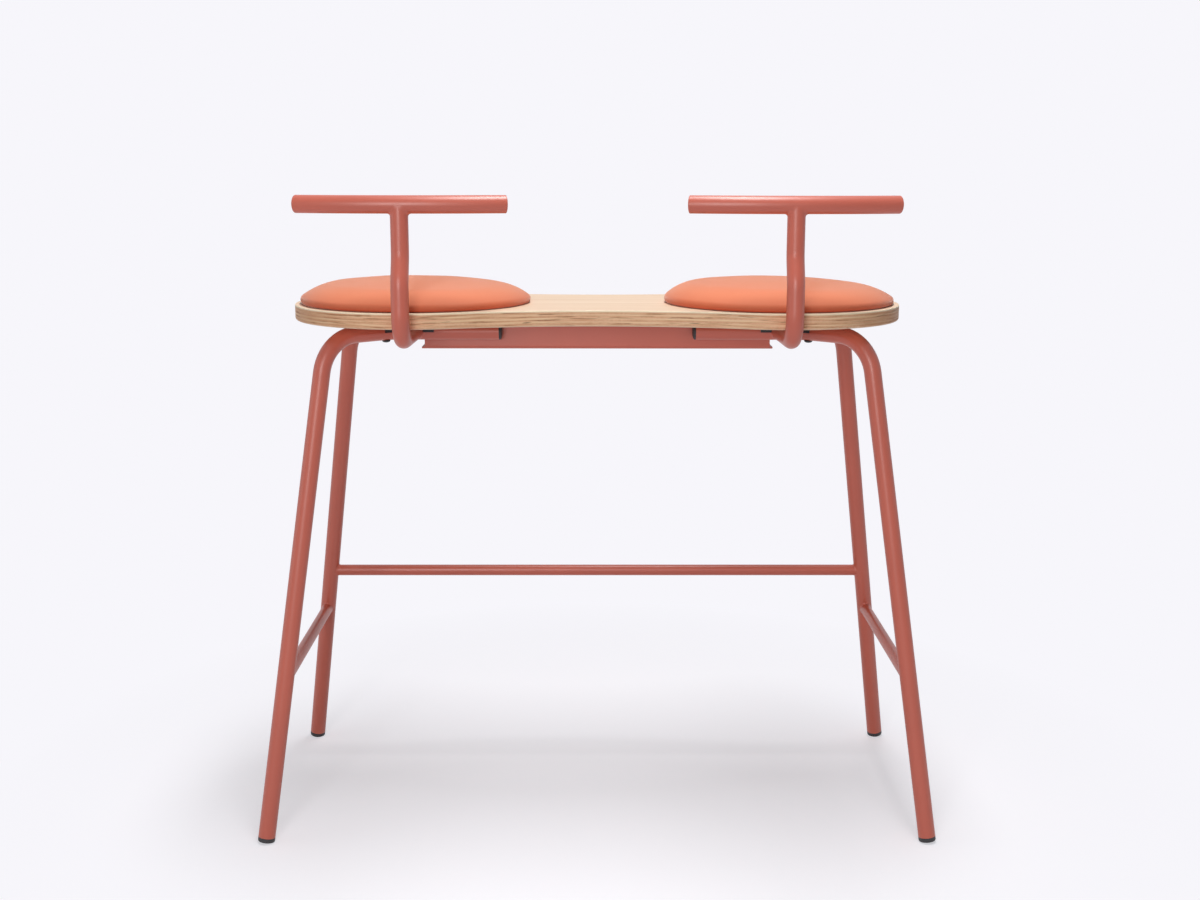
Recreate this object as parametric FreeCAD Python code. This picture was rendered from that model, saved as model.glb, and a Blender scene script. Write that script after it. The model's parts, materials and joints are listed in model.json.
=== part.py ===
import FreeCAD, Part
import math
import os

# Two-seat bar bench. Bent steel tube legs carry a waisted plywood seat with two
# round cushions, and each seat has its own post with a short curved back bar.
# Millimetres, +Z up, floor at Z = 0. The sitters face +Y, the back bars are at -Y,
# and left is -X. The frame is one quarter leg, mirrored to the four corners.

# Frame tube
tube_od = 25.0
tube_wall = 1.5
stretcher_od = 18.0
stretcher_wall = 1.5
weld_gap = 0.15

# Seat board and the two seat places on it
seat_top = 778.0
seat_thickness = 23.0
lobe_radius = 180.0
lobe_offset = 275.0
waist_half = 132.0
seat_ease = 1.2
seat_round = 4.0

# Legs: the axis meets the height of the rails at the shoulder and spreads out to the foot
shoulder_out = 117.0
shoulder_y = 118.6
spread_x = 97.0
spread_y = 90.0
leg_bend = 61.0
knee_bend = 45.0
rail_y = 40.0
rail_end_x = 147.0
rail_drop = 4.5

# Feet and tube ends
glide_height = 7.0
glide_round = 2.0
glide_flat = 1.0
plug_dome = 5.0
stem_length = 16.0
stem_fit = 0.25
barb_height = 0.15
barb_slope = 1.0

# Stretchers
side_stretcher_z = 242.0
footrest_z = 309.6

# Backrests
post_inset = 2.4
post_clearance = 0.8
post_bend = 38.5
post_lift = 2.6
post_jog = 14.0
post_jog_low = 46.0
post_jog_high = 80.0
post_jog_bend = 45.0
bar_above_seat = 151.2
bar_chord = 287.5
bar_radius = 544.0
cap_thickness = 2.0
cap_round = 1.0

# Folded channel under the seat
spine_length = 529.0
spine_height = 45.0
spine_sheet = 3.0
spine_fold = 2.0
spine_lip = 14.0
spine_wall_setback = 4.5
spine_screw_pitch = 200.0
access_hole = 12.0

# Cushions
cushion_margin = 6.5
cushion_widest = 5.5
cushion_height = 37.6
cushion_skirt_gap = 0.6
cushion_tuck = 1.5
crown_inset = 48.1
crown_drop = 7.7
shoulder_inset = 24.8
shoulder_drop = 13.6
rim_inset = 3.6
rim_drop = 25.1
cushion_board_inset = 21.5
cushion_board_thickness = 6.0
cushion_fit = 0.3

# Saddles between tube and board
saddle_length = 16.0
saddle_cheek = 2.0
saddle_shoulder = 6.0
saddle_fit = 0.15
saddle_post_gap = 1.0

# Fasteners
bolt_d = 6.0
bolt_head_d = 12.5
bolt_head = 3.5
bolt_in_seat = 13.0
bolt_into_bend = 6.7
insert_d = 10.0
insert_length = 14.0
screw_d = 4.5
screw_head_d = 9.0
screw_head = 2.8
spine_screw_in_seat = 14.0
cushion_screw_in_board = 4.0
cushion_screw_circle = 110.0
thread_fit = 0.1
hole_fit = 0.3

tube_r = tube_od / 2
bore_r = tube_r - tube_wall
seat_bottom = seat_top - seat_thickness
rail_z = seat_bottom - rail_drop - tube_r
spine_half = rail_y - tube_r - weld_gap
shoulder_x = lobe_offset + shoulder_out
cushion_radius = lobe_radius - cushion_margin

# Each post stands off so that the inside of its lower bend just clears the seat's lower edge
bend_room = post_bend - tube_r - seat_round
bend_height = bend_room + post_lift - rail_drop
bend_reach = math.sqrt((bend_room - post_clearance) ** 2 - bend_height ** 2)
post_x = lobe_offset - post_inset
post_y = lobe_radius - seat_round - bend_reach + post_bend
bar_y = post_y - post_jog
bar_z = seat_top + bar_above_seat

X = FreeCAD.Vector(1, 0, 0)
Y = FreeCAD.Vector(0, 1, 0)
Z = FreeCAD.Vector(0, 0, 1)
ORIGIN = FreeCAD.Vector(0, 0, 0)


def point(x, y, z):
    return FreeCAD.Vector(x, y, z)


def unit(vector):
    return vector / vector.Length


def single(shape):
    """The one solid of a shape that has to come out whole."""
    if len(shape.Solids) != 1:
        raise ValueError("expected one solid, got %d" % len(shape.Solids))
    return shape.Solids[0]


def flip_x(shape):
    return shape.mirror(ORIGIN, X)


def flip_y(shape):
    return shape.mirror(ORIGIN, Y)


def four_corners(shape):
    """The same small piece at all four corners of the frame."""
    pair = [shape, flip_x(shape)]
    return Part.makeCompound(pair + [flip_y(piece) for piece in pair])


def section(centre, along, outer, inner):
    """Round tube section, or a full disc where there is no bore."""
    rim = Part.Wire(Part.makeCircle(outer, centre, along))
    if inner <= 0:
        return Part.Face(rim)
    bore = Part.Wire(Part.makeCircle(inner, centre, along))
    return Part.makeFace([rim, bore], "Part::FaceMakerBullseye")


def bent_tube(corners, bends, outer, inner):
    """Tube along straight runs, with a round bend of the given radius at each inner corner."""
    pieces = []
    start = corners[0]
    for index in range(1, len(corners)):
        corner = corners[index]
        along = unit(corner - corners[index - 1])
        face = section(start, along, outer, inner)
        if index == len(corners) - 1:
            pieces.append(face.extrude(corner - start))
            break
        onward = unit(corners[index + 1] - corner)
        turn = along.getAngle(onward)
        radius = bends[index - 1]
        setback = radius * math.tan(turn / 2)
        bend_start = corner - along * setback
        pieces.append(face.extrude(bend_start - start))
        axis = unit(along.cross(onward))
        centre = bend_start + axis.cross(along) * radius
        bend = section(bend_start, along, outer, inner)
        pieces.append(bend.revolve(centre, axis, math.degrees(turn)))
        start = corner + onward * setback
    return single(pieces[0].fuse(pieces[1:]))


def turned(profile, base, along):
    """Solid of revolution: profile is (radius, height) points, straight between them."""
    points = [point(radius, 0, height) for radius, height in profile]
    face = Part.Face(Part.makePolygon(points + [points[0]]))
    body = face.revolve(ORIGIN, Z, 360)
    body.Placement = FreeCAD.Placement(base, FreeCAD.Rotation(Z, along))
    return body


def plug_stem(length):
    """Profile of a push-in stem with two barbs, from its free end down to the flange."""
    core = bore_r - stem_fit - barb_height
    barb = bore_r - stem_fit
    third = length / 3
    stem = [(0, length), (core - barb_slope, length), (core, length - barb_slope)]
    for ridge in (2 * third, third):
        stem += [(core, ridge + barb_slope), (barb, ridge), (core, ridge - barb_slope)]
    return stem + [(core, 0)]


# Legs

leg_top = point(-shoulder_x, -shoulder_y, rail_z)
leg_up = unit(point(spread_x, spread_y, rail_z))
leg_in = unit(point(spread_x, spread_y, 0))


def leg_axis_point(z):
    """Where the back left leg's axis is at a given height."""
    return leg_top + leg_up * ((z - rail_z) / leg_up.z)


leg_end = leg_axis_point(glide_flat) + leg_up * glide_height
knee = leg_top + leg_in * ((shoulder_y - rail_y) / leg_in.y)
knee_start = knee - leg_in * (knee_bend * math.tan(leg_in.getAngle(X) / 2))
leg_corners = [leg_end, leg_top, knee, point(-rail_end_x, -rail_y, rail_z)]
leg_bends = [leg_bend, knee_bend]

# The bolts go through the legs a little past the start of the knees
bolt_turn = bolt_into_bend / knee_bend
knee_side = leg_in.cross(Z)
bolt_along = leg_in * math.cos(bolt_turn) + knee_side * math.sin(bolt_turn)
bolt_place = knee_start + (knee_side - bolt_along.cross(Z)) * knee_bend


def leg_envelope(clearance):
    """Outside of the back left leg, grown by a clearance, for what is fitted round it."""
    return bent_tube(leg_corners, leg_bends, tube_r + clearance, 0)


def leg():
    """Back left leg: up from the foot, over a bend, in along its own lean, then along the rail."""
    tube = bent_tube(leg_corners, leg_bends, tube_r, bore_r)
    below = point(bolt_place.x, bolt_place.y, rail_z - tube_od)
    hole = Part.makeCylinder(bolt_d / 2 + hole_fit, 2 * tube_od, below)
    return single(tube.cut(hole))


def glide():
    """Push-in foot with a rounded rim, worn to a small flat where it meets the floor."""
    rim = [(tube_r, 0), (tube_r, glide_round - glide_height),
           (tube_r - 0.3 * glide_round, 0.3 * glide_round - glide_height),
           (tube_r - glide_round, -glide_height), (0, -glide_height)]
    body = turned(plug_stem(stem_length) + rim, leg_end, leg_up)
    floor = Part.makeBox(8 * tube_od, 8 * tube_od, tube_od)
    floor.translate(point(leg_end.x - 4 * tube_od, leg_end.y - 4 * tube_od, -tube_od))
    return single(body.cut(floor))


def rail_end_plug():
    """Push-in plug with a domed head in the inner end of a rail."""
    dome = [(tube_r, 0), (tube_r, -0.3 * plug_dome), (0.85 * tube_r, -0.7 * plug_dome),
            (0.5 * tube_r, -0.95 * plug_dome), (0, -plug_dome)]
    return turned(plug_stem(stem_length) + dome, leg_corners[-1], point(-1, 0, 0))


# Stretchers

def side_stretcher():
    """Tube between the back and front legs of the left end, mouths cut to the legs."""
    start = leg_axis_point(side_stretcher_z)
    tube = section(start, Y, stretcher_od / 2, stretcher_od / 2 - stretcher_wall)
    tube = tube.extrude(point(0, -2 * start.y, 0))
    legs = leg_envelope(weld_gap)
    return single(tube.cut([legs, flip_y(legs)]))


def footrest_stretcher():
    """Tube between the two front legs, mouths cut to the legs."""
    axis = leg_axis_point(footrest_z)
    start = point(axis.x, -axis.y, axis.z)
    tube = section(start, X, stretcher_od / 2, stretcher_od / 2 - stretcher_wall)
    tube = tube.extrude(point(-2 * start.x, 0, 0))
    legs = flip_y(leg_envelope(weld_gap))
    return single(tube.cut([legs, flip_x(legs)]))


# Backrests

bar_half_angle = math.degrees(math.asin(bar_chord / 2 / bar_radius))
bar_centre = point(-post_x, bar_radius - bar_y, bar_z)


def bar_arc(clearance, inner):
    """Back bar: a tube bent round the sitter's back, over the left post."""
    middle = point(-post_x, -bar_y, bar_z)
    face = section(middle, X, tube_r + clearance, inner)
    face.rotate(bar_centre, Z, -bar_half_angle)
    return face.revolve(bar_centre, Z, 2 * bar_half_angle)


def bar_cap(side):
    """Welded disc with a rounded rim on one end of the left bar."""
    disc = Part.makeCylinder(tube_r, cap_thickness, ORIGIN, X)
    rim = [edge for edge in disc.Edges if abs(edge.CenterOfMass.x - cap_thickness) < 1e-6]
    disc = disc.makeFillet(cap_round, rim)
    disc.translate(point(-post_x, -bar_y, bar_z))
    disc.rotate(bar_centre, Z, bar_half_angle)
    if side < 0:
        disc = disc.mirror(point(-post_x, 0, 0), X)
    return disc


def bar_end_caps():
    pair = [bar_cap(-1), bar_cap(1)]
    return Part.makeCompound(pair + [flip_x(cap) for cap in pair])


def back_post():
    """Left post: rising slightly from the rail, up behind the seat, then a jog forward to the bar."""
    slope = post_lift / (post_y - post_bend - rail_y)
    low = rail_z + slope * (post_y - rail_y)
    corners = [point(-post_x, -rail_y, rail_z), point(-post_x, -post_y, low),
               point(-post_x, -post_y, seat_top + post_jog_low),
               point(-post_x, -bar_y, seat_top + post_jog_high), point(-post_x, -bar_y, bar_z)]
    tube = bent_tube(corners, [post_bend, post_jog_bend, post_jog_bend], tube_r, bore_r)
    return single(tube.cut([leg_envelope(weld_gap), bar_arc(weld_gap, 0)]))


# Seat

def seat_outline():
    """Two round lobes joined by hollow arcs at the waist, as one closed wire."""
    depth = lobe_radius - waist_half
    hollow = (lobe_offset ** 2 + waist_half ** 2 - lobe_radius ** 2) / (2 * depth)
    share = lobe_radius / (lobe_radius + hollow)
    touch_x = lobe_offset * (1 - share)
    touch_y = (waist_half + hollow) * share
    front = [point(-touch_x, touch_y, 0), point(0, waist_half, 0), point(touch_x, touch_y, 0)]
    right = [front[2], point(lobe_offset + lobe_radius, 0, 0), point(touch_x, -touch_y, 0)]
    back = [right[2], point(0, -waist_half, 0), point(-touch_x, -touch_y, 0)]
    left = [back[2], point(-lobe_offset - lobe_radius, 0, 0), front[0]]
    arcs = [Part.Arc(*points).toShape() for points in (front, right, back, left)]
    return Part.Wire(arcs)


def cushion_screw_places():
    """Three screws under the left cushion: one outwards and two towards the waist."""
    places = []
    for angle in (180, 60, -60):
        turn = math.radians(angle)
        x = -lobe_offset + cushion_screw_circle * math.cos(turn)
        places.append(point(x, cushion_screw_circle * math.sin(turn), 0))
    return places


def spine_screw_places():
    """Pairs of screws through the two lips of the channel."""
    y = spine_half - spine_sheet - spine_lip / 2
    return [point(step * spine_screw_pitch, side * y, 0) for step in (-1, 0, 1) for side in (-1, 1)]


def seat_board():
    """Waisted plywood board, eased above and rounded below, drilled from below for its fasteners."""
    board = Part.Face(seat_outline()).extrude(point(0, 0, seat_thickness))
    board.translate(point(0, 0, seat_bottom))
    for height, radius in ((seat_top, seat_ease), (seat_bottom, seat_round)):
        rim = [edge for edge in board.Edges
               if edge.BoundBox.ZLength < 1e-6 and abs(edge.BoundBox.ZMin - height) < 1e-6]
        board = board.makeFillet(radius, rim)
    insert = Part.makeCylinder(insert_d / 2 + thread_fit, insert_length + thread_fit,
                               point(bolt_place.x, bolt_place.y, seat_bottom))
    holes = four_corners(insert).Solids
    for place in cushion_screw_places():
        hole = Part.makeCylinder(screw_d / 2 + hole_fit, seat_thickness,
                                 place + Z * seat_bottom)
        holes += [hole, flip_x(hole)]
    for place in spine_screw_places():
        holes.append(Part.makeCylinder(screw_d / 2 + thread_fit, spine_screw_in_seat + thread_fit,
                                       place + Z * seat_bottom))
    return single(board.cut(holes))


# Channel under the seat

def rounded_bar(width, height, radius, length):
    """Bar along X with a rounded rectangular section, bottom middle at the origin."""
    box = Part.makeBox(length, width, height, point(-length / 2, -width / 2, 0))
    edges = [edge for edge in box.Edges if edge.BoundBox.XLength > length / 2]
    return box.makeFillet(radius, edges)


def spine_channel():
    """Folded channel with lips under the seat, walls cut back from the ends of its web."""
    sheet = spine_sheet
    width = 2 * spine_half
    body = rounded_bar(width, spine_height, spine_fold + sheet, spine_length)
    inside = rounded_bar(width - 2 * sheet, spine_height - 2 * sheet, spine_fold, 2 * spine_length)
    inside.translate(Z * sheet)
    slot_half = spine_half - sheet - spine_lip
    slot = Part.makeBox(2 * spine_length, 2 * slot_half, spine_height,
                        point(-spine_length, -slot_half, spine_height / 2))
    cuts = [inside, slot]
    for side in (-1, 1):
        end = Part.makeBox(2 * spine_wall_setback, 2 * width, spine_height,
                           point(-spine_wall_setback, -width, sheet))
        end.translate(X * (side * spine_length / 2))
        cuts.append(end)
    for place in spine_screw_places():
        cuts.append(Part.makeCylinder(access_hole / 2, spine_height / 2, place - Z * sheet))
        cuts.append(Part.makeCylinder(screw_d / 2 + hole_fit, spine_height, place + Z * sheet))
    body = single(body.cut(cuts))
    body.translate(Z * (seat_bottom - spine_height))
    return body


# Cushions

def cushion_board():
    """Round board under the left cushion, drilled for its screws."""
    board = Part.makeCylinder(cushion_radius - cushion_board_inset, cushion_board_thickness,
                              point(-lobe_offset, 0, seat_top))
    holes = [Part.makeCylinder(screw_d / 2 + thread_fit, cushion_screw_in_board + thread_fit,
                               place + Z * seat_top) for place in cushion_screw_places()]
    return single(board.cut(holes))


def cushion():
    """Left cushion: a low crown, sloping shoulders and a round rim drawn in at the seat."""
    top = cushion_height
    skirt = cushion_skirt_gap
    seat = cushion_board_thickness + cushion_fit
    inner = cushion_radius - cushion_board_inset + cushion_fit
    foot = cushion_radius - cushion_tuck
    apex = point(0, 0, top)
    crown = cushion_radius - crown_inset
    flat = point(crown, 0, top - crown_drop)
    on_crown = point(crown / 2, 0, top - crown_drop / 4)
    on_shoulder = point(cushion_radius - shoulder_inset, 0, top - shoulder_drop)
    rim = point(cushion_radius - rim_inset, 0, top - rim_drop)
    widest = point(cushion_radius, 0, cushion_widest)
    under = point(foot, 0, skirt)
    straight = Part.makePolygon([under, point(inner, 0, skirt), point(inner, 0, seat),
                                 point(0, 0, seat), apex]).Edges
    curves = [Part.Arc(apex, on_crown, flat), Part.Arc(flat, on_shoulder, rim),
              Part.Arc(rim, widest, under)]
    outline = Part.Wire(straight + [curve.toShape() for curve in curves])
    body = Part.Face(outline).revolve(ORIGIN, Z, 360)
    body.translate(point(-lobe_offset, 0, seat_top))
    return body


# Saddles and fasteners

def saddle(centre, along):
    """Moulded saddle: a pad on top of the tube with one cheek down its outer side."""
    inward = Z.cross(along)
    half = saddle_length / 2
    thick = tube_r + rail_drop
    pad = Part.makeBox(saddle_length, tube_od, thick - saddle_shoulder,
                       point(-half, -tube_r, saddle_shoulder))
    reach = tube_r + saddle_cheek
    cheek = Part.makeBox(saddle_length, reach, thick, point(-half, -reach, 0))
    body = pad.fuse(cheek)
    turn = FreeCAD.Rotation(along, inward, Z, "XYZ")
    body.Placement = FreeCAD.Placement(centre, turn)
    return single(body.cut(leg_envelope(saddle_fit)).removeSplitter())


def tube_saddles():
    """One saddle at each bolt and one on each rail just inside the post."""
    inner_x = -post_x + tube_r + saddle_post_gap + saddle_length / 2
    bolted = saddle(bolt_place, bolt_along)
    hole = Part.makeCylinder(bolt_d / 2 + hole_fit, 2 * tube_od, bolt_place)
    bolted = single(bolted.cut(hole))
    plain = saddle(point(inner_x, -rail_y, rail_z), X)
    return Part.makeCompound(four_corners(bolted).Solids + four_corners(plain).Solids)


def frame_bolts():
    """Domed bolts up through the knees of the four legs into the board."""
    grip = tube_od + rail_drop + bolt_in_seat
    shank = bolt_d / 2
    head = bolt_head_d / 2
    profile = [(0, grip), (shank, grip), (shank, 0), (head, 0), (0.92 * head, -0.45 * bolt_head),
               (0.6 * head, -0.88 * bolt_head), (0, -bolt_head)]
    base = point(bolt_place.x, bolt_place.y, rail_z - tube_r)
    return four_corners(turned(profile, base, Z))


def bolt_inserts():
    """Threaded inserts in the underside of the board."""
    base = point(bolt_place.x, bolt_place.y, seat_bottom)
    sleeve = Part.makeCylinder(insert_d / 2, insert_length, base)
    bore = Part.makeCylinder(bolt_d / 2 + thread_fit, insert_length, base)
    return four_corners(sleeve.cut(bore))


def screw(base, grip):
    """Pan-head screw pointing up, with its head under the base point."""
    shank = screw_d / 2
    head = screw_head_d / 2
    profile = [(0, grip), (shank, grip - shank), (shank, 0), (head, 0), (head, -0.4 * screw_head),
               (0.7 * head, -screw_head), (0, -screw_head)]
    return turned(profile, base, Z)


def spine_screws():
    lip_bottom = seat_bottom - spine_sheet
    grip = spine_sheet + spine_screw_in_seat
    return Part.makeCompound([screw(place + Z * lip_bottom, grip) for place in spine_screw_places()])


def cushion_screws():
    grip = seat_thickness + cushion_screw_in_board
    left = [screw(place + Z * seat_bottom, grip) for place in cushion_screw_places()]
    return Part.makeCompound(left + [flip_x(piece) for piece in left])


def build():
    """Every piece of the bench by name."""
    nodes = {"seat_board": seat_board(), "spine_channel": spine_channel(),
             "footrest_stretcher": footrest_stretcher(), "bar_end_caps": bar_end_caps(),
             "rail_end_plugs": four_corners(rail_end_plug()), "tube_saddles": tube_saddles(),
             "frame_bolts": frame_bolts(), "bolt_inserts": bolt_inserts(),
             "spine_screws": spine_screws(), "cushion_screws": cushion_screws()}
    pairs = {"cushion": cushion(), "cushion_board": cushion_board(),
             "side_stretcher": side_stretcher(), "back_post": back_post(),
             "back_bar": bar_arc(0, bore_r), "leg_back": leg(), "glide_back": glide()}
    pairs["leg_front"] = flip_y(pairs["leg_back"])
    pairs["glide_front"] = flip_y(pairs["glide_back"])
    for name, shape in pairs.items():
        nodes[name + "_left"] = shape
        nodes[name + "_right"] = flip_x(shape)
    return nodes


os.makedirs("parts", exist_ok=True)
for name, shape in build().items():
    shape.exportStep("parts/" + name + ".step")
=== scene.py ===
import json
import math

import bmesh
import bpy
from mathutils import Matrix, Vector, noise

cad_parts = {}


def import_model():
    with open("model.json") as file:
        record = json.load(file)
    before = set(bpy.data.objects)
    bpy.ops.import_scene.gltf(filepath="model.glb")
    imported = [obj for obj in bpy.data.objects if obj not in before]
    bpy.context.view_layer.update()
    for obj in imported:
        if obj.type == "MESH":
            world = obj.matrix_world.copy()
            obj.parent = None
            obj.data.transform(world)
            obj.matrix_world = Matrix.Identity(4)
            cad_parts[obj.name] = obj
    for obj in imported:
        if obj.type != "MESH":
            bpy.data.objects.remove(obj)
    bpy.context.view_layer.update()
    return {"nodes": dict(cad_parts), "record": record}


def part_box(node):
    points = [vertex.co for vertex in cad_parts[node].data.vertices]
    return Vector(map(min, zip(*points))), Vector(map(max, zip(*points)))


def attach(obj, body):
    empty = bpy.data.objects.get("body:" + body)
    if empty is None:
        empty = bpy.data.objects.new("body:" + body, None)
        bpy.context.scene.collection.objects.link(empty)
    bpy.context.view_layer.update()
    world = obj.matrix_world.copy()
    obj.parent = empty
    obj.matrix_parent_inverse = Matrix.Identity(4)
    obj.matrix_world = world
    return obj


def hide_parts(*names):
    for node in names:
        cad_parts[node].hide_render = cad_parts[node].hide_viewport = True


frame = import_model()

X = Vector((1, 0, 0))
Z = Vector((0, 0, 1))

# Seat board; every length is in metres

seat_top = 0.778
seat_bottom = 0.755
ply_layers = 9
# Depths under the seat top of the pale band along the top of the edge: partly the face veneer's
# own colour, partly a painted highlight where the eased edge catches light
ply_rind_and_highlight = (0.0026, 0.0017)

# Cushions: outline as (radius, height over the seat), then mesh, cloth and unevenness

lobe_offset = 0.275
cushion_radius = 0.1727
cushion_height = 0.0376
cushion_inset = 0.0010
cushion_slant = {-1: -0.012, 1: -0.022}
crown_top = (0.0, cushion_height)
crown_middle = (0.0627, 0.03568)
crown_edge = (0.1254, 0.0299)
shoulder_middle = (0.1482, 0.0240)
rim_top = (0.1691, 0.0125)
rim_widest = (cushion_radius, 0.0062)
rim_foot = (0.1703, 0.0006)
skirt_gap = 0.0006
recess_radius = 0.1523
recess_height = 0.0063
underside = ((0.1670, skirt_gap), (0.1600, skirt_gap), (recess_radius, skirt_gap),
             (recess_radius, recess_height), (0.10, recess_height), (0.04, recess_height))

cushion_step = 0.005
shoulder_step = cushion_step * 0.8
rim_step = cushion_step * 0.3
fan_radius = 0.150
hollow_radius = 0.153
hollow_height = 0.008

cushion_shrink = 0.0022
shrink_start = 0.002
shrink_span = 0.01
cloth_values = {"quality": 6, "mass": 0.3, "tension_stiffness": 30, "compression_stiffness": 30,
                "shear_stiffness": 12, "bending_stiffness": 4, "use_pressure": True,
                "uniform_pressure_force": 4}
cloth_frames = 20
cushion_uneven = 0.0008
cushion_smoothing = 16

uneven_scale = 16
uneven_place = Vector((3.1, 7.7, 1.9))
crown_uneven = 0.0006
crown_start = 0.006
crown_span = 0.022
side_uneven = 0.0005
gather_from = 0.100
gather_count = 74
gather_depth = 0.00022
gather_height = 0.0020
gather_span = 0.006
slant_start = 0.001

thread_pitch = 0.0016
# Painted shade: heights over the seat between which the cover's colour darkens and reddens towards
# its foot
foot_shade_low = 0.0010
foot_shade_high = 0.0240
foot_shade_share = 0.86

# Frame tubes and their welds

tube_radius = 0.0125
stretcher_radius = 0.009
rail_y = 0.040
rail_z = 0.738
post_x = 0.2726
post_slope = 0.0201
bar_y = -0.19376
bar_z = 0.9292
leg_top = Vector((0.392, 0.1186, rail_z))
leg_foot = Vector((0.489, 0.2086, 0.0))
side_stretcher_z = 0.242
footrest_z = 0.3096
spine_half = 0.02735

weld_steps = 96
weld_spans = 6
weld_sink = 0.00004
weld_hollow = 0.05
weld_root = 0.0006
bar_weld = 0.0042
rail_weld = 0.0036
stretcher_weld = 0.0026
stitch_places = (-0.215, -0.17, 0.17, 0.215)
stitch_length = 0.024
stitch_depth = 0.0070
stitch_bulge = 0.0009
stitch_lap = 0.0001
stitch_steps = 14

# Bolts and screws

fastener_steps = 96
bolt_head_radius = 0.00625
bolt_head_height = 0.0035
bolt_length = 0.046
bolt_shank_radius = 0.0030
socket_rim = 0.0032
socket_width = 0.0040
socket_depth = 0.0021
screw_head_radius = 0.0045
screw_head_height = 0.0028
screw_shank_radius = 0.00225
screw_tip_radius = 0.0006
cross_reach = 0.0023
cross_slot = 0.0013
cross_depth = 0.0017
spine_sheet = 0.003
spine_screw_x = 0.200
spine_screw_y = 0.01735
spine_screw_grip = 0.017
cushion_screw_circle = 0.110
cushion_screw_grip = 0.027

# Picture: floor, backdrop, soft boxes as (name, place, target, width, height, watts), and camera

backdrop = (0.930, 0.922, 0.965)
ambient = 0.16
floor_size = 40
floor_drop = 0.0004
floor_glow = 0.475
floor_shade = 0.15
fade_start = 0.5
fade_end = 1.0
soft_boxes = (
    ("key", (0.16, -0.10, 2.95), (0.16, -0.10, 0.0), 0.4, 1.4, 41.0),
    ("front", (-0.64, -3.0, 1.35), (0, 0, 0.72), 0.9, 1.3, 28.5),
    ("side", (-3.0, -0.6, 1.1), (0, 0, 0.7), 2.0, 2.0, 6.0),
)
photo_width = 1200
focal_pixels = 1476.75
sensor_width = 36.0
camera_place = (-0.00811, -2.24311, 0.98477)
camera_yaw = -0.00557
camera_pitch = -0.19172
camera_roll = 0.00147


# Material helpers

class Surface:
    """A node material, with short calls for the nodes that it is made of."""

    def __init__(self, name, fixed):
        self.material = bpy.data.materials.new(name)
        self.material.use_nodes = True
        self.nodes = self.material.node_tree.nodes
        self.links = self.material.node_tree.links
        self.shader = self.nodes["Principled BSDF"]
        self.coords = self.nodes.new("ShaderNodeTexCoord")
        for socket, value in fixed.items():
            self.shader.inputs[socket].default_value = value

    def feed(self, socket, value):
        if isinstance(value, bpy.types.NodeSocket):
            self.links.new(value, socket)
        else:
            socket.default_value = value

    def maths(self, operation, first, second=0.0):
        node = self.nodes.new("ShaderNodeMath")
        node.operation = operation
        self.feed(node.inputs[0], first)
        self.feed(node.inputs[1], second)
        return node.outputs[0]

    def axes(self, output):
        node = self.nodes.new("ShaderNodeSeparateXYZ")
        self.links.new(self.coords.outputs[output], node.inputs[0])
        return node.outputs

    def noise(self, scale, detail=2.0, stretch=(1.0, 1.0, 1.0)):
        place = self.nodes.new("ShaderNodeMapping")
        place.inputs["Scale"].default_value = [scale * share for share in stretch]
        self.links.new(self.coords.outputs["Object"], place.inputs["Vector"])
        node = self.nodes.new("ShaderNodeTexNoise")
        node.inputs["Scale"].default_value = 1.0
        node.inputs["Detail"].default_value = detail
        self.links.new(place.outputs[0], node.inputs["Vector"])
        return node.outputs[0]

    def spread(self, value, low, high, start=0.3, end=0.7):
        node = self.nodes.new("ShaderNodeMapRange")
        self.feed(node.inputs["Value"], value)
        limits = {"From Min": start, "From Max": end, "To Min": low, "To Max": high}
        for socket, number in limits.items():
            node.inputs[socket].default_value = number
        return node.outputs[0]

    def ramp(self, value, *stops):
        node = self.nodes.new("ShaderNodeValToRGB")
        points = node.color_ramp.elements
        while len(points) < len(stops):
            points.new(0.5)
        for element, (place, colour) in zip(points, stops):
            element.position = place
            element.color = (*colour, 1.0)
        self.feed(node.inputs[0], value)
        return node.outputs[0]

    def mix(self, share, first, second, kind="MIX"):
        node = self.nodes.new("ShaderNodeMix")
        node.data_type = "RGBA"
        node.blend_type = kind
        self.feed(node.inputs["Factor"], share)
        for socket, value in ((node.inputs[6], first), (node.inputs[7], second)):
            self.feed(socket, value if isinstance(value, bpy.types.NodeSocket) else (*value, 1.0))
        return node.outputs[2]

    def bump(self, height, strength, distance, under=None):
        node = self.nodes.new("ShaderNodeBump")
        node.inputs["Strength"].default_value = strength
        node.inputs["Distance"].default_value = distance
        self.links.new(height, node.inputs["Height"])
        if under is not None:
            self.links.new(under, node.inputs["Normal"])
        return node.outputs[0]

    def finish(self, colour, roughness, normal):
        self.links.new(colour, self.shader.inputs["Base Color"])
        self.links.new(roughness, self.shader.inputs["Roughness"])
        self.links.new(normal, self.shader.inputs["Normal"])
        return self.material


def painted_steel():
    """Satin powder coat: an even tone, a fine orange peel and a slightly uneven gloss."""
    paint = Surface("painted_steel", {"Specular IOR Level": 0.8})
    cloud = paint.noise(7, 3)
    peel = paint.noise(420, 2)
    dust = paint.noise(2600, 1)
    tone = paint.ramp(cloud, (0.3, (0.565, 0.106, 0.060)), (0.7, (0.615, 0.120, 0.069)))
    colour = paint.mix(paint.spread(dust, 0.0, 0.14), tone, (0.65, 0.150, 0.094))
    gloss = paint.maths("ADD", paint.spread(peel, 0.35, 0.39), paint.spread(cloud, 0.0, 0.03))
    skin = paint.bump(peel, 0.009, 0.0004)
    return paint.finish(colour, gloss, paint.bump(dust, 0.045, 0.0001, skin))


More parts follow.
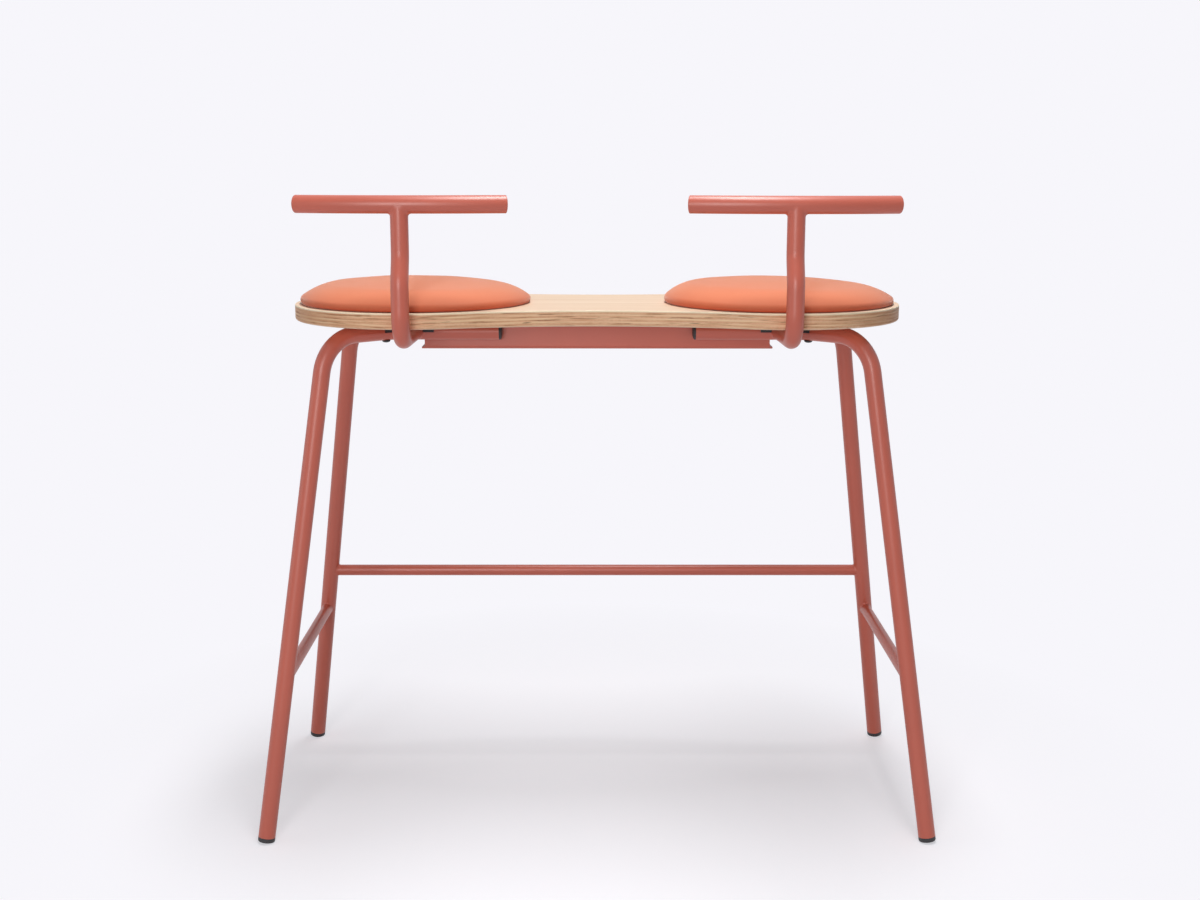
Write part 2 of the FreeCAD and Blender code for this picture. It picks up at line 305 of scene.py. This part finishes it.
def plywood():
    """Pale veneer with grain along the bench, and cross-banded layers at the edge, with painted
    shade on the board's ends and a painted highlight along the top of the edge.
    """
    wood = Surface("plywood", {"Specular IOR Level": 0.25})
    height = wood.axes("Object")[2]
    level = wood.maths("DIVIDE", wood.maths("SUBTRACT", height, seat_bottom),
                       (seat_top - seat_bottom) / ply_layers)
    level = wood.maths("ADD", level, wood.spread(wood.noise(1, 2, (7, 7, 60)), -0.3, 0.3))
    wave = wood.maths("SINE", wood.maths("MULTIPLY", level, math.pi))
    firm = wood.spread(wood.noise(1, 2, (9, 9, 120)), 0.2, 1.0)
    cross_band = wood.maths("MULTIPLY", wood.spread(wave, 0.0, 1.0, -0.35, 0.35), firm)
    glue = wood.maths("MULTIPLY", wood.spread(wood.maths("ABSOLUTE", wave), 0.45, 0.0, 0.0, 0.3),
                      wood.spread(wood.noise(1, 3, (26, 26, 90)), 0.0, 1.0))

    figure = wood.noise(1, 4, (2.2, 34, 34))
    pores = wood.noise(1, 3, (22, 900, 900))
    flame = wood.noise(1, 2, (3.0, 9.0, 9.0))
    face = wood.ramp(figure, (0.3, (0.81, 0.595, 0.415)), (0.52, (0.865, 0.655, 0.475)),
                     (0.75, (0.89, 0.69, 0.515)))
    face = wood.mix(wood.spread(pores, 0.14, 0.0, 0.34, 0.5), face, (0.60, 0.39, 0.235))
    face = wood.mix(wood.spread(flame, 0.0, 0.16), face, (0.84, 0.61, 0.42))

    streak = wood.noise(1, 4, (22, 22, 560))
    fleck = wood.noise(1, 3, (260, 260, 420))
    long_grain = wood.ramp(streak, (0.3, (0.88, 0.56, 0.315)), (0.5, (0.97, 0.68, 0.410)),
                           (0.72, (0.99, 0.76, 0.495)))
    end_grain = wood.ramp(streak, (0.32, (0.70, 0.350, 0.190)), (0.5, (0.84, 0.480, 0.285)),
                          (0.7, (0.92, 0.585, 0.365)))
    end_grain = wood.mix(wood.spread(fleck, 0.22, 0.0, 0.35, 0.55), end_grain, (0.54, 0.255, 0.13))
    edge = wood.mix(cross_band, end_grain, long_grain)
    edge = wood.mix(glue, edge, (0.54, 0.275, 0.14))
    check = wood.spread(wood.noise(1, 3, (20, 20, 480)), 0.0, 0.85, 0.575, 0.66)
    edge = wood.mix(wood.maths("MULTIPLY", check, wood.spread(cross_band, 1.0, 0.25, 0.2, 0.8)),
                    edge, (0.36, 0.140, 0.055))
    gap = wood.spread(wood.noise(1, 2, (17, 17, 240)), 0.0, 0.85, 0.70, 0.76)
    edge = wood.mix(gap, edge, (0.17, 0.058, 0.022))
    faced = wood.axes("Normal")
    # Painted shade: the edge colour is darkened where it faces the ends of the board, away from
    # the light
    ends_painted_shade = wood.spread(wood.maths("ABSOLUTE", faced[0]), 0.0, 1.0, 0.30, 0.80)
    edge = wood.mix(ends_painted_shade, edge, (0.80, 0.74, 0.69), "MULTIPLY")
    upright = wood.maths("ABSOLUTE", faced[2])
    on_face = wood.spread(upright, 0.0, 1.0, 0.55, 0.9)
    # Pale band at the top of the edge and over the eased corner: partly the face veneer seen
    # end-on, partly a painted highlight brighter than the face itself
    near_top = wood.spread(height, 0.0, 0.9, seat_top - ply_rind_and_highlight[0], seat_top - ply_rind_and_highlight[1])
    veneer_rind_and_highlight = wood.maths("MULTIPLY", near_top, wood.spread(upright, 1.0, 0.0, 0.95, 0.99))
    colour = wood.mix(veneer_rind_and_highlight, wood.mix(on_face, edge, face), (1.0, 0.86, 0.62))
    gloss = wood.maths("ADD", wood.spread(pores, 0.52, 0.44), wood.spread(figure, 0.05, 0.0))
    relief = wood.maths("SUBTRACT", pores, wood.maths("MULTIPLY", gap, 0.8))
    fibres = wood.bump(streak, 0.10, 0.0003)
    return wood.finish(colour, gloss, wood.bump(relief, 0.18, 0.0003, fibres))


def cushion_fabric():
    """Fine plain-weave wool: mixed yarn tones, a crossing thread relief, a soft nap, and painted
    shade that darkens and reddens the cover towards its foot.
    """
    cloth = Surface("cushion_fabric", {"Specular IOR Level": 0.30, "Sheen Weight": 0.55,
                                       "Sheen Roughness": 0.40,
                                       "Sheen Tint": (1.0, 0.82, 0.72, 1.0)})
    place = cloth.axes("Object")
    facing = [cloth.maths("MULTIPLY", side, side) for side in cloth.axes("Normal")]
    thread = [cloth.maths("SINE", cloth.maths("MULTIPLY", side, 2 * math.pi / thread_pitch))
              for side in place]
    weave = None
    for index in range(3):
        cross = cloth.maths("MULTIPLY", thread[(index + 1) % 3], thread[(index + 2) % 3])
        part = cloth.maths("MULTIPLY", cross, facing[index])
        weave = part if weave is None else cloth.maths("ADD", weave, part)
    yarn = cloth.noise(1, 2, (1500, 260, 700))
    slub = cloth.noise(1, 2, (240, 1500, 700))
    nap = cloth.noise(2400, 2)
    wear = cloth.noise(9, 3)
    mottle = cloth.noise(1, 3, (170, 230, 170))
    tone = cloth.ramp(wear, (0.3, (0.868, 0.258, 0.122)), (0.7, (0.898, 0.279, 0.137)))
    tone = cloth.mix(cloth.spread(mottle, 0.0, 0.22), tone, (0.83, 0.225, 0.106))
    colour = cloth.mix(cloth.spread(yarn, 0.0, 0.16), tone, (0.82, 0.215, 0.102))
    colour = cloth.mix(cloth.spread(slub, 0.0, 0.16), colour, (0.92, 0.350, 0.200))
    # Painted shade: the colour darkens and reddens towards the foot of the cover, where the
    # contact shade with the board falls
    foot_shade_ramp = cloth.spread(place[2], 1.0, 0.0, seat_top + foot_shade_low, seat_top + foot_shade_high)
    turned = cloth.maths("POWER", foot_shade_ramp, 1.6)
    colour = cloth.mix(cloth.maths("MULTIPLY", turned, foot_shade_share), colour, (0.50, 0.060, 0.020))
    rough = cloth.maths("ADD", cloth.spread(nap, 0.64, 0.74),
                        cloth.spread(weave, 0.04, 0.0, -1.0, 1.0))
    relief = cloth.bump(weave, 0.22, 0.0002)
    return cloth.finish(colour, rough, cloth.bump(nap, 0.25, 0.0002, relief))


def black_plastic():
    """Moulded polymer with a fine spark-eroded texture."""
    polymer = Surface("black_plastic", {"Specular IOR Level": 0.45})
    grain = polymer.noise(1500, 2)
    scuff = polymer.noise(1, 3, (60, 60, 300))
    colour = polymer.ramp(scuff, (0.3, (0.022, 0.021, 0.023)), (0.75, (0.056, 0.055, 0.058)))
    gloss = polymer.maths("ADD", polymer.spread(grain, 0.40, 0.52),
                          polymer.spread(scuff, 0.0, 0.06))
    return polymer.finish(colour, gloss, polymer.bump(grain, 0.22, 0.0002))


def metal(name, fixed, dark, light, low, high, strength):
    """Small turned hardware: faint tool marks round the axis and an uneven plating tone."""
    part = Surface(name, fixed)
    marks = part.noise(1, 2, (500, 500, 6000))
    cloud = part.noise(160, 3)
    colour = part.ramp(cloud, (0.3, dark), (0.7, light))
    gloss = part.maths("ADD", part.spread(marks, low, high), part.spread(cloud, 0.0, 0.06))
    return part.finish(colour, gloss, part.bump(marks, strength, 0.0001))


def make_materials():
    return {
        "painted_steel": painted_steel(),
        "plywood": plywood(),
        "cushion_fabric": cushion_fabric(),
        "black_plastic": black_plastic(),
        "black_steel": metal("black_steel", {"Specular IOR Level": 0.55}, (0.016, 0.016, 0.018),
                             (0.040, 0.040, 0.044), 0.32, 0.46, 0.10),
        "insert_brass": metal("insert_brass", {"Metallic": 1.0}, (0.66, 0.44, 0.16),
                              (0.78, 0.56, 0.25), 0.24, 0.40, 0.12),
        "screw_steel": metal("screw_steel", {"Metallic": 1.0}, (0.52, 0.53, 0.54),
                             (0.66, 0.66, 0.65), 0.26, 0.42, 0.12),
    }


# Mesh helpers

def new_piece(name, bm, slot):
    """One finished mesh object in the bench's frame, riding the bench."""
    bmesh.ops.recalc_face_normals(bm, faces=bm.faces)
    mesh = bpy.data.meshes.new(name)
    bm.to_mesh(mesh)
    bm.free()
    for polygon in mesh.polygons:
        polygon.use_smooth = True
    mesh.materials.append(materials[slot])
    piece = bpy.data.objects.new(name, mesh)
    bpy.context.scene.collection.objects.link(piece)
    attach(piece, "root")
    return piece


def bridge(bm, first, second):
    """Quads between two closed rings of equally many points."""
    count = len(first)
    for index in range(count):
        after = (index + 1) % count
        bm.faces.new((first[index], first[after], second[after], second[index]))


def arc_points(start, middle, end, step):
    """Points along the arc through three (radius, height) pairs, without the first one."""
    (ax, ay), (bx, by), (cx, cy) = start, middle, end
    d = 2 * (ax * (by - cy) + bx * (cy - ay) + cx * (ay - by))
    a2, b2, c2 = ax * ax + ay * ay, bx * bx + by * by, cx * cx + cy * cy
    ox = (a2 * (by - cy) + b2 * (cy - ay) + c2 * (ay - by)) / d
    oy = (a2 * (cx - bx) + b2 * (ax - cx) + c2 * (bx - ax)) / d
    radius = math.hypot(ax - ox, ay - oy)
    first = math.atan2(ay - oy, ax - ox)
    turn = (math.atan2(cy - oy, cx - ox) - first + math.pi) % (2 * math.pi) - math.pi
    count = max(2, round(abs(turn) * radius / step))
    angles = [first + turn * (index + 1) / count for index in range(count)]
    return [(ox + radius * math.cos(angle), oy + radius * math.sin(angle)) for angle in angles]


# Cushions

def cushion_profile():
    """Upper outline as (radius, height over the seat), from the middle to the underside."""
    crown = arc_points(crown_top, crown_middle, crown_edge, cushion_step)
    shoulder = arc_points(crown_edge, shoulder_middle, rim_top, shoulder_step)
    rim = arc_points(rim_top, rim_widest, rim_foot, rim_step)
    return [crown_top] + crown + shoulder + rim


def height_at(profile, radius):
    """Height of the upper outline at a radius inside its widest place."""
    for (r0, h0), (r1, h1) in zip(profile, profile[1:]):
        if r0 <= radius <= r1:
            return h0 + (h1 - h0) * (radius - r0) / (r1 - r0)
    return profile[-1][1]


def cushion_mesh(centre):
    """Even triangles over the crown, even quads down the sides, and the hollow for the board."""
    bm = bmesh.new()
    profile = cushion_profile()
    shoulder_start = next(index for index, pair in enumerate(profile) if pair[0] > fan_radius)
    rings = round(profile[shoulder_start][0] / cushion_step)
    step = profile[shoulder_start][0] / rings

    def ring(radius, height, count):
        turns = [2 * math.pi * index / count for index in range(count)]
        return [bm.verts.new(centre + Vector((radius * math.cos(t), radius * math.sin(t), height)))
                for t in turns]

    middle = bm.verts.new(centre + Z * profile[0][1])
    inner = [middle]
    free = [inner]
    for level in range(1, rings + 1):
        outer = ring(level * step, height_at(profile, level * step), 6 * level)
        for sector in range(6):
            for index in range(level):
                a = outer[sector * level + index]
                b = outer[(sector * level + index + 1) % (6 * level)]
                low = inner[(sector * (level - 1) + index) % len(inner)]
                bm.faces.new((a, b, low))
                if index:
                    bm.faces.new((a, low, inner[sector * (level - 1) + index - 1]))
        free.append(outer)
        inner = outer
    count = len(inner)
    for radius, height in profile[shoulder_start + 1:]:
        outer = ring(radius, height, count)
        bridge(bm, inner, outer)
        free.append(outer)
        inner = outer
    held = []
    for radius, height in underside:
        outer = ring(radius, height, count)
        bridge(bm, inner, outer)
        held.extend(outer)
        inner = outer
    bm.faces.new(inner)
    bm.verts.index_update()
    return bm, [[vert.index for vert in loop] for loop in free], [vert.index for vert in held]


def swell(piece, centre, free, held):
    """Cloth under pressure, held at the underside; the unevenness that it brings is kept."""
    points = piece.data.vertices
    outline = [vert.co - centre for vert in points]
    for loop in free:
        for index in loop:
            place = outline[index]
            share = math.hypot(place.x, place.y) / cushion_radius
            lift = min(1.0, max(0.0, (place.z - shrink_start) / shrink_span))
            inward = Vector((place.x, place.y, 0)) * (cushion_shrink / cushion_radius) * share
            points[index].co -= inward + Z * cushion_shrink * lift
    group = piece.vertex_groups.new(name="held")
    group.add(held, 1.0, "REPLACE")
    cloth = piece.modifiers.new("Cloth", "CLOTH")
    settings = cloth.settings
    for name, value in cloth_values.items():
        setattr(settings, name, value)
    settings.vertex_group_mass = "held"
    settings.effector_weights.gravity = 0
    cloth.collision_settings.use_collision = False
    scene = bpy.context.scene
    for step in range(1, cloth_frames + 1):
        scene.frame_set(step)
    result = piece.evaluated_get(bpy.context.evaluated_depsgraph_get()).to_mesh()
    swollen = [vert.co - centre for vert in result.vertices]
    piece.modifiers.remove(cloth)
    piece.vertex_groups.remove(group)
    scene.frame_set(1)

    moves = [Vector((0, 0)) for place in outline]
    for loop in free:
        reached = [Vector((math.hypot(swollen[index].x, swollen[index].y), swollen[index].z))
                   for index in loop]
        mean = sum(reached, Vector((0, 0))) / len(loop)
        for index, place in zip(loop, reached):
            moves[index] = place - mean
    near = [[index] for index in range(len(points))]
    for edge in piece.data.edges:
        first, second = edge.vertices
        near[first].append(second)
        near[second].append(first)
    for turn in range(cushion_smoothing):
        moves = [sum((moves[other] for other in row), Vector((0, 0))) / len(row) for row in near]
    still = set(held)
    most = max(move.length for move in moves)
    scale = min(1.0, cushion_uneven / most)
    for index, (vert, place, move) in enumerate(zip(points, outline, moves)):
        flat = Vector((place.x, place.y, 0))
        outward = flat.normalized() if flat.length > 1e-6 else flat
        push = outward * move.x + Z * move.y
        vert.co = centre + place + (push * scale if index not in still else Vector((0, 0, 0)))


def draw_in(piece, centre, side):
    """Small gathers where the cover is pulled under, and the slow unevenness of hand-laid foam."""
    for vert in piece.data.vertices:
        flat = Vector((vert.co.x - centre.x, vert.co.y - centre.y, 0))
        height = vert.co.z - seat_top
        if flat.length < hollow_radius and height < hollow_height:
            continue
        turn = math.atan2(flat.y, flat.x)
        uneven = noise.noise(vert.co * uneven_scale + uneven_place)
        crown = min(1.0, max(0.0, (height - crown_start) / crown_span))
        low = max(0.0, 1.0 - abs(height - gather_height) / gather_span)
        wander = 2.2 * math.sin(5 * turn) + 1.3 * math.sin(11 * turn)
        gather = gather_depth * low * math.sin(gather_count * turn + wander)
        if flat.length > gather_from:
            vert.co += flat.normalized() * (gather + side_uneven * (1.0 - crown) * uneven)
        vert.co.z += crown_uneven * crown * uneven
        lean = max(0.0, height - slant_start) / cushion_height
        vert.co.z += cushion_slant[side] * flat.x * lean
        vert.co.x -= side * cushion_inset


def cushion(side):
    """A cushion cover drawn over foam, in place of the plain solid."""
    name = "left" if side < 0 else "right"
    centre = Vector((side * lobe_offset, 0, seat_top))
    bm, free, held = cushion_mesh(centre)
    piece = new_piece("cushion_cover_" + name, bm, "cushion_fabric")
    swell(piece, centre, free, held)
    draw_in(piece, centre, side)
    smooth = piece.modifiers.new("Subdivision", "SUBSURF")
    smooth.levels = 1
    smooth.render_levels = 1
    piece.data.set_sharp_from_angle(angle=math.radians(55))
    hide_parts("cushion_" + name)


# Weld beads

def weld_section(foot, away, radius, along, host, size, turn):
    """Points of a hollow fillet between two crossing tubes at one turn round the smaller one."""
    side = (along - away * along.dot(away)).normalized()
    up = away.cross(side)
    normal = side * math.cos(turn) + up * math.sin(turn)
    lean = away.dot(along)
    across = normal.dot(along)
    a = 1 - lean * lean
    b = -2 * radius * across * lean
    c = radius * radius * (1 - across * across) - host * host
    reach = (-b + math.sqrt(max(0.0, b * b - 4 * a * c))) / (2 * a)
    seam = normal * radius + away * reach
    outward = (seam - along * seam.dot(along)).normalized()
    tangent = normal.cross(outward).normalized()
    on_tube = tangent.cross(normal)
    on_tube *= 1 if on_tube.dot(away) > 0 else -1
    on_host = tangent.cross(outward)
    on_host *= 1 if on_host.dot(normal) > 0 else -1
    ripple = 1 + 0.05 * math.sin(26 * turn) + 0.04 * math.sin(7 * turn + 1)
    leg = size * ripple
    toe = seam + on_tube * leg
    shaft = away * toe.dot(away)
    toe = shaft + (toe - shaft).normalized() * (radius - weld_sink)
    heel = seam + on_host * leg
    shaft = along * heel.dot(along)
    heel = shaft + (heel - shaft).normalized() * (host - weld_sink)
    pull = seam + (on_tube + on_host) * (weld_hollow * leg)
    curve = []
    for index in range(weld_spans + 1):
        t = index / weld_spans
        curve.append(toe * (1 - t) ** 2 + pull * 2 * t * (1 - t) + heel * t ** 2)
    curve.append(seam - (normal + outward) * weld_root)
    return [foot + point for point in curve]


def weld(bm, foot, away, radius, along, host, size):
    """A closed ring of fillet round the end of a tube."""
    loops = []
    for index in range(weld_steps):
        section = weld_section(foot, away.normalized(), radius, along.normalized(), host, size,
                               2 * math.pi * index / weld_steps)
        loops.append([bm.verts.new(point) for point in section])
    for index in range(weld_steps):
        bridge(bm, loops[index], loops[(index + 1) % weld_steps])


def stitch(bm, x, side, length):
    """A short bead in the groove between a rail and the wall of the channel."""
    loops = []
    for index in range(stitch_steps + 1):
        t = index / stitch_steps
        full = math.sin(math.pi * min(max(t, 0.02), 0.98)) ** 0.4
        ripple = 1 + 0.06 * math.sin(index * 2.6)
        depth = stitch_depth * full * ripple
        low = rail_z - depth
        inner = rail_y - math.sqrt(tube_radius ** 2 - depth ** 2) + stitch_lap
        wall = spine_half - stitch_lap
        middle = (inner + wall) / 2
        bulge = stitch_bulge * full
        section = [(wall, low), (middle, low - bulge), (inner, low),
                   (middle, rail_z - 0.3 * depth)]
        along = x + (t - 0.5) * length
        loops.append([bm.verts.new((along, side * y, z)) for y, z in section])
    for first, second in zip(loops, loops[1:]):
        bridge(bm, first, second)
    bm.faces.new(loops[0])
    bm.faces.new(loops[-1])


def leg_at(height, sx, sy):
    """Point on a leg's axis and the leg's direction, for the corner given by two signs."""
    point = leg_foot.lerp(leg_top, height / leg_top.z)
    turned = Vector((sx, sy, 1))
    return point * turned, (leg_foot - leg_top) * turned


def weld_beads():
    """Fillets round the welded tube ends, and short beads between the rails and the channel."""
    back = bmesh.new()
    rise = Vector((0, -1, post_slope))
    for side in (-1, 1):
        top = Vector((side * post_x, bar_y, bar_z))
        weld(back, top, -Z, tube_radius, X, tube_radius, bar_weld)
        root = Vector((side * post_x, -rail_y, rail_z))
        weld(back, root, rise, tube_radius, X, tube_radius, rail_weld)
    base = bmesh.new()
    for sx in (-1, 1):
        for sy in (-1, 1):
            point, direction = leg_at(side_stretcher_z, sx, sy)
            weld(base, point, Vector((0, -sy, 0)), stretcher_radius, direction, tube_radius,
                 stretcher_weld)
        point, direction = leg_at(footrest_z, sx, 1)
        weld(base, point, Vector((-sx, 0, 0)), stretcher_radius, direction, tube_radius,
             stretcher_weld)
    for sy in (-1, 1):
        for x in stitch_places:
            stitch(base, x, sy, stitch_length)
    pieces = [new_piece("weld_beads_back", back, "painted_steel"),
              new_piece("weld_beads_base", base, "painted_steel")]
    for piece in pieces:
        piece.data.set_sharp_from_angle(angle=math.radians(60))


# Bolts and screws

def hexagon(turn, width):
    """Distance from the middle to the side of a hexagon, in a direction."""
    return width / 2 / math.cos((turn + math.pi / 6) % (math.pi / 3) - math.pi / 6)


def cross(turn, reach, slot):
    """Distance from the middle to the outline of a cross, in a direction."""
    bent = abs((turn + math.pi / 4) % (math.pi / 2) - math.pi / 4)
    side = slot / 2 / max(math.sin(bent), 1e-4)
    return min(reach / math.cos(bent), side)


def fastener(bm, base, rings, mouth, mouth_height, depth, floor_share, shank):
    """A head under a base point, with a driving recess, on a plain shank that points up."""
    turns = [2 * math.pi * index / fastener_steps for index in range(fastener_steps)]

    def ring(reach, height):
        places = [Vector((reach(t) * math.cos(t), reach(t) * math.sin(t), height)) for t in turns]
        return [bm.verts.new(base + place) for place in places]

    loops = [ring(lambda t, r=radius: r, height) for radius, height in shank + rings]
    loops.append(ring(mouth, mouth_height))
    loops.append(ring(lambda t: mouth(t) * 0.97, mouth_height + depth * 0.15))
    loops.append(ring(lambda t: mouth(t) * floor_share, mouth_height + depth))
    for first, second in zip(loops, loops[1:]):
        bridge(bm, first, second)
    bm.faces.new(loops[0])
    bm.faces.new(loops[-1])


def frame_bolts():
    """Button-head bolts with a hexagon socket, under the knees of the legs."""
    bm = bmesh.new()
    low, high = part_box("frame_bolts")
    r, h = bolt_head_radius, bolt_head_height
    dome = [(r, 0.0), (r, -0.10 * h)]
    for index in range(1, 8):
        angle = math.radians(11 * index)
        dome.append((r * math.cos(angle) ** 0.75, -0.10 * h - 0.86 * h * math.sin(angle)))
    shank = [(bolt_shank_radius, bolt_length - h), (bolt_shank_radius, 0.0)]
    rings = [ring for ring in dome if ring[0] > socket_rim]
    for sx in (-1, 1):
        for sy in (-1, 1):
            base = Vector((sx * (high.x - r), sy * (high.y - r), low.z + h))
            fastener(bm, base, rings, lambda t: hexagon(t, socket_width), -0.955 * h, socket_depth,
                     0.93, shank)
    piece = new_piece("socket_bolts", bm, "black_steel")
    piece.data.set_sharp_from_angle(angle=math.radians(40))
    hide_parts("frame_bolts")


def pan_screws(name, places, grip, replaced):
    """Pan-head screws with a cross recess."""
    bm = bmesh.new()
    r, h = screw_head_radius, screw_head_height
    rings = [(r, 0.0), (r, -0.35 * h), (r * 0.95, -0.62 * h), (r * 0.84, -0.84 * h),
             (r * 0.70, -0.96 * h), (r * 0.60, -h)]
    shank = [(screw_tip_radius, grip), (screw_shank_radius, grip - screw_shank_radius),
             (screw_shank_radius, 0.0)]
    for place in places:
        fastener(bm, place, rings, lambda t: cross(t, cross_reach, cross_slot), -h, cross_depth,
                 0.62, shank)
    piece = new_piece(name, bm, "screw_steel")
    piece.data.set_sharp_from_angle(angle=math.radians(40))
    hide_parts(replaced)


# Room for the picture: floor, light and camera

def shown_rays(nodes, links):
    """One where the backdrop is seen, straight or in a reflection, and zero for plain light."""
    path = nodes.new("ShaderNodeLightPath")
    seen = path.outputs["Is Camera Ray"]
    for name in ("Is Glossy Ray", "Is Transmission Ray"):
        either = nodes.new("ShaderNodeMath")
        either.operation = "MAXIMUM"
        links.new(seen, either.inputs[0])
        links.new(path.outputs[name], either.inputs[1])
        seen = either.outputs[0]
    return seen


def stage():
    """Pale floor that keeps the bench's shadow and fades into the backdrop far from it."""
    bm = bmesh.new()
    bmesh.ops.create_grid(bm, x_segments=2, y_segments=2, size=floor_size)
    mesh = bpy.data.meshes.new("floor")
    bm.to_mesh(mesh)
    bm.free()
    floor = bpy.data.objects.new("floor", mesh)
    floor.location = (0, 0, -floor_drop)
    bpy.context.scene.collection.objects.link(floor)
    paper = Surface("floor_paper", {"Specular IOR Level": 0.0})
    fibre = paper.noise(3, 3)
    colour = paper.ramp(fibre, (0.3, (0.825, 0.820, 0.855)), (0.7, (0.835, 0.830, 0.865)))
    seen = shown_rays(paper.nodes, paper.links)
    colour = paper.mix(paper.maths("MULTIPLY", seen, floor_shade), colour, (0.0, 0.0, 0.0))
    paper.finish(colour, paper.spread(fibre, 0.9, 1.0), paper.bump(fibre, 0.02, 0.001))
    away = paper.nodes.new("ShaderNodeVectorMath")
    away.operation = "LENGTH"
    paper.links.new(paper.coords.outputs["Object"], away.inputs[0])
    fade = paper.spread(away.outputs["Value"], 0.0, 1.0, fade_start, fade_end)
    far = paper.maths("MULTIPLY", fade, seen)
    lit = paper.nodes.new("ShaderNodeAddShader")
    paper.links.new(paper.shader.outputs[0], lit.inputs[0])
    near_glow = paper.nodes.new("ShaderNodeEmission")
    near_glow.inputs["Color"].default_value = (*backdrop, 1.0)
    paper.links.new(paper.maths("MULTIPLY", seen, floor_glow), near_glow.inputs["Strength"])
    paper.links.new(near_glow.outputs[0], lit.inputs[1])
    far_glow = paper.nodes.new("ShaderNodeEmission")
    far_glow.inputs["Color"].default_value = (*backdrop, 1.0)
    blend = paper.nodes.new("ShaderNodeMixShader")
    paper.links.new(far, blend.inputs[0])
    paper.links.new(lit.outputs[0], blend.inputs[1])
    paper.links.new(far_glow.outputs[0], blend.inputs[2])
    paper.links.new(blend.outputs[0], paper.nodes["Material Output"].inputs["Surface"])
    mesh.materials.append(paper.material)


def world():
    """White surround: the backdrop's colour where it is seen, a plain level of light elsewhere."""
    room = bpy.data.worlds.new("studio")
    bpy.context.scene.world = room
    room.use_nodes = True
    nodes = room.node_tree.nodes
    links = room.node_tree.links
    nodes.clear()
    seen = shown_rays(nodes, links)
    light = nodes.new("ShaderNodeBackground")
    light.inputs["Color"].default_value = (1.0, 1.0, 1.0, 1.0)
    light.inputs["Strength"].default_value = ambient
    shown = nodes.new("ShaderNodeBackground")
    shown.inputs["Color"].default_value = (*backdrop, 1.0)
    shown.inputs["Strength"].default_value = 1.0
    blend = nodes.new("ShaderNodeMixShader")
    out = nodes.new("ShaderNodeOutputWorld")
    links.new(seen, blend.inputs[0])
    links.new(light.outputs[0], blend.inputs[1])
    links.new(shown.outputs[0], blend.inputs[2])
    links.new(blend.outputs[0], out.inputs["Surface"])


def softbox(name, place, target, width, height, power):
    """A rectangular lamp that the camera doesn't see, turned to its target."""
    lamp = bpy.data.lights.new(name, "AREA")
    lamp.shape = "RECTANGLE"
    lamp.size = width
    lamp.size_y = height
    lamp.energy = power
    box = bpy.data.objects.new(name, lamp)
    box.location = place
    box.rotation_euler = (Vector(target) - Vector(place)).to_track_quat("-Z", "Y").to_euler()
    box.visible_camera = False
    bpy.context.scene.collection.objects.link(box)


def studio():
    world()
    stage()
    for values in soft_boxes:
        softbox(*values)


def camera():
    """The camera that was fitted to the photograph."""
    data = bpy.data.cameras.new("camera")
    data.sensor_fit = "HORIZONTAL"
    data.sensor_width = sensor_width
    data.lens = focal_pixels / photo_width * sensor_width
    view = bpy.data.objects.new("camera", data)
    view.location = camera_place
    yaw = Matrix.Rotation(camera_yaw, 3, "Z")
    pitch = Matrix.Rotation(math.pi / 2 + camera_pitch, 3, "X")
    roll = Matrix.Rotation(camera_roll, 3, "Z")
    view.rotation_euler = (yaw @ pitch @ roll).to_euler()
    bpy.context.scene.collection.objects.link(view)
    bpy.context.scene.camera = view


# The bench

bpy.context.scene.view_settings.view_transform = "Standard"
materials = make_materials()
for part in frame["record"]["subparts"]:
    slots = frame["nodes"][part["node"]].data.materials
    slots.clear()
    slots.append(materials[part["material_slot"]])

for side in (-1, 1):
    cushion(side)
weld_beads()
frame_bolts()

spine_places = [Vector((x, y, seat_bottom - spine_sheet))
                for x in (-spine_screw_x, 0, spine_screw_x)
                for y in (-spine_screw_y, spine_screw_y)]
pan_screws("spine_pan_screws", spine_places, spine_screw_grip, "spine_screws")
lobe_places = []
for side in (-1, 1):
    for turn in (0, 120, -120):
        angle = math.radians(turn)
        lobe_places.append(Vector((side * (lobe_offset + cushion_screw_circle * math.cos(angle)),
                                   cushion_screw_circle * math.sin(angle), seat_bottom)))
pan_screws("cushion_pan_screws", lobe_places, cushion_screw_grip, "cushion_screws")

studio()
camera()
